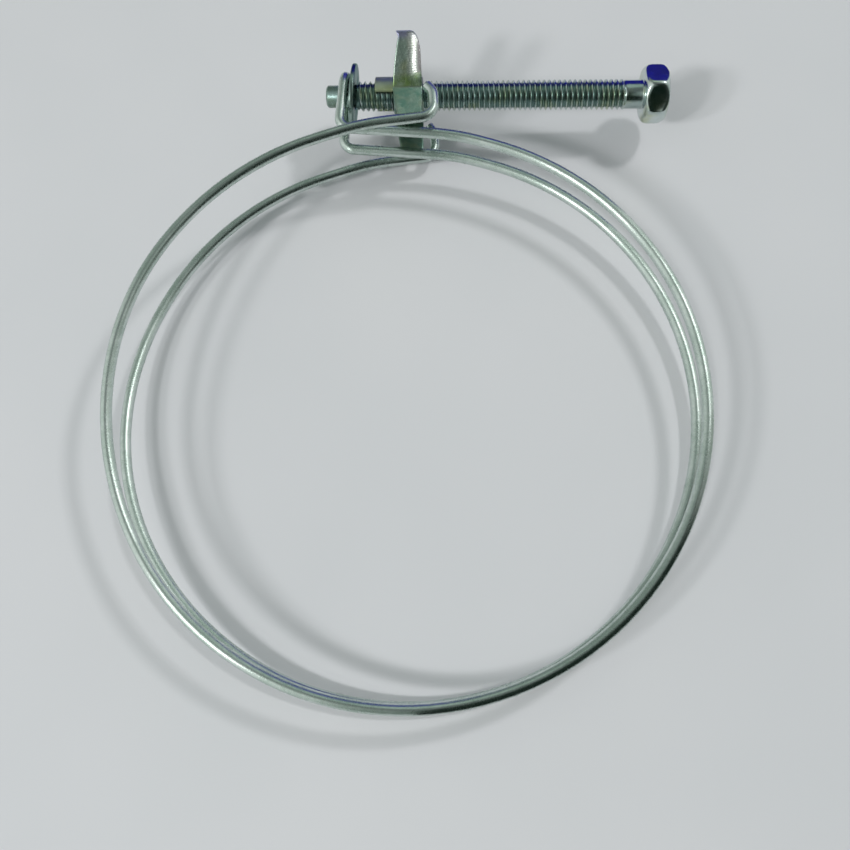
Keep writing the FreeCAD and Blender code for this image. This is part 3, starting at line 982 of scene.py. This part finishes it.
def room(name):
    world = bpy.data.worlds.new(name)
    world.use_nodes = True
    world.node_tree.nodes.clear()
    tree = Tree(world.node_tree)
    x, y, z = split(tree, tree.add("ShaderNodeTexCoord", out="Generated"))
    compass = x.math("ARCTAN2", y) / math.tau + 0.5
    colour = tree.add("ShaderNodeValToRGB", None, {0: compass})
    ramp = colour.socket.node.color_ramp
    for at, grey in ROOM[1:-1]:
        ramp.elements.new(at)
    for element, (at, grey) in zip(ramp.elements, ROOM):
        element.position = at
        element.color = wall_colour(grey)
    high_band = step_up(tree, z, 0.60, 0.72) * band(tree, compass, (0.43, 0.47), (0.56, 0.60))
    overhead = step_up(tree, z, 0.88, 0.99)
    window = band(tree, compass, (0.465, 0.485), (0.54, 0.56))
    window = window * band(tree, z, (-0.02, 0.05), (0.48, 0.55))
    for_camera = tree.add("ShaderNodeLightPath", out="Is Camera Ray")
    for share, tone in ((high_band, (0.46, 0.56, 0.50, 1)), (overhead, (0.15, 0.17, 0.165, 1)),
                        (window, (0.06, 0.08, 0.34, 1)), (for_camera, (0.55, 0.56, 0.57, 1))):
        colour = mix(tree, share, colour, tone)
    sky = tree.add("ShaderNodeBackground", None, {"Color": colour, "Strength": 1.0})
    tree.add("ShaderNodeOutputWorld", None, {"Surface": sky})
    return world


bpy.context.scene.world = room("room")
print("room:", len(ROOM), "stops round the compass")

# %% [markdown]
# ## Two boards
# A far room looks the same from every part of the clamp, so a few dark and blue streaks need
# something that stands near. In a photo studio that would be a board outside the picture, and so
# it is here: a blue one behind the screw, and a tall black one that bends round the right side of
# the ring. The black one starts softly, because a sharp start would show as a cut in the wire's
# dark line. Both only mirror: they throw no shadow, and no light on the card.

# %% Boards
board_foot = -12.0        # below the card, so no gap mirrors under it
board_r = 74.0            # the black board's distance from the ring's centre
soft_start = (94, 116)    # clock angles over which it turns from pale to black
soft_height = (38, 50)    # above this it's black from its first edge


def soft_black(tree, pale, black):
    x, y, z = split(tree, tree.add("ShaderNodeTexCoord", out="Object"))
    clock = x.math("ARCTAN2", y)
    share = step_up(tree, clock, *(math.radians(a) for a in soft_start))
    share = share.math("MAXIMUM", step_up(tree, z, *(h * MM for h in soft_height)))
    return mix(tree, share, pale, black)


def board(name, base, height, colour, pale_start=None):
    material, tree = new_material(name)
    if pale_start:
        colour = soft_black(tree, pale_start, colour)
    glow = tree.add("ShaderNodeEmission", None, {"Color": colour, "Strength": 1.0})
    tree.add("ShaderNodeOutputMaterial", None, {"Surface": glow})
    low = [Vector((x, y, board_foot)) * MM for x, y in base]
    high = [p + Vector((0, 0, height * MM)) for p in low]
    mesh = bpy.data.meshes.new(name)
    n = len(base)
    mesh.from_pydata(low + high, [], [(i, i + 1, n + i + 1, n + i) for i in range(n - 1)])
    mesh.materials.append(material)
    piece = bpy.data.objects.new(name, mesh)
    bpy.context.scene.collection.objects.link(piece)
    piece.visible_camera = False
    piece.visible_diffuse = False
    piece.visible_shadow = False


board("blue_board", [(-24, 106), (15, 112), (85, 108)], 50.0, (0.018, 0.018, 0.28, 1))
black_base = [tuple(on_clock(board_r, clock, 0)[:2]) for clock in range(88, 180, 10)]
board("black_board", black_base, 124.0, (0.006, 0.014, 0.010, 1), pale_start=(0.36, 0.39, 0.37, 1))
print("boards: the black one has", len(black_base) - 1, "flat panels")

# %% [markdown]
# ## Camera
# The camera looks down on the clamp from just in front of it. Its place and its turn were worked
# out from the ring's two ovals and the screw, and are written as the camera's own three axes. The
# picture is square, 850 pixels wide, and the focal length is 880 of those pixels.

# %% Camera
picture_px, focal_px, sensor = 850, 880, 36.0
right = Vector((0.99957, 0.01022, -0.02731))
up = Vector((-0.00270, 0.96506, 0.26203))
back = right.cross(up).normalized()
up = back.cross(right)
place = Vector((7.828, -45.041, 150.349)) * MM
camera_data = bpy.data.cameras.new("camera")
camera_data.sensor_width = sensor
camera_data.lens = sensor * focal_px / picture_px
camera_data.clip_start = 0.01
camera_data.dof.use_dof = False
camera = bpy.data.objects.new("camera", camera_data)
bpy.context.scene.collection.objects.link(camera)
camera.matrix_world = Matrix([(*row, 0) for row in (right, up, back)] + [(*place, 1)]).transposed()
bpy.context.scene.camera = camera
bpy.context.scene.view_settings.view_transform = "Standard"
print("camera at", [round(v / MM, 1) for v in place], "mm, lens", round(camera_data.lens, 2), "mm")
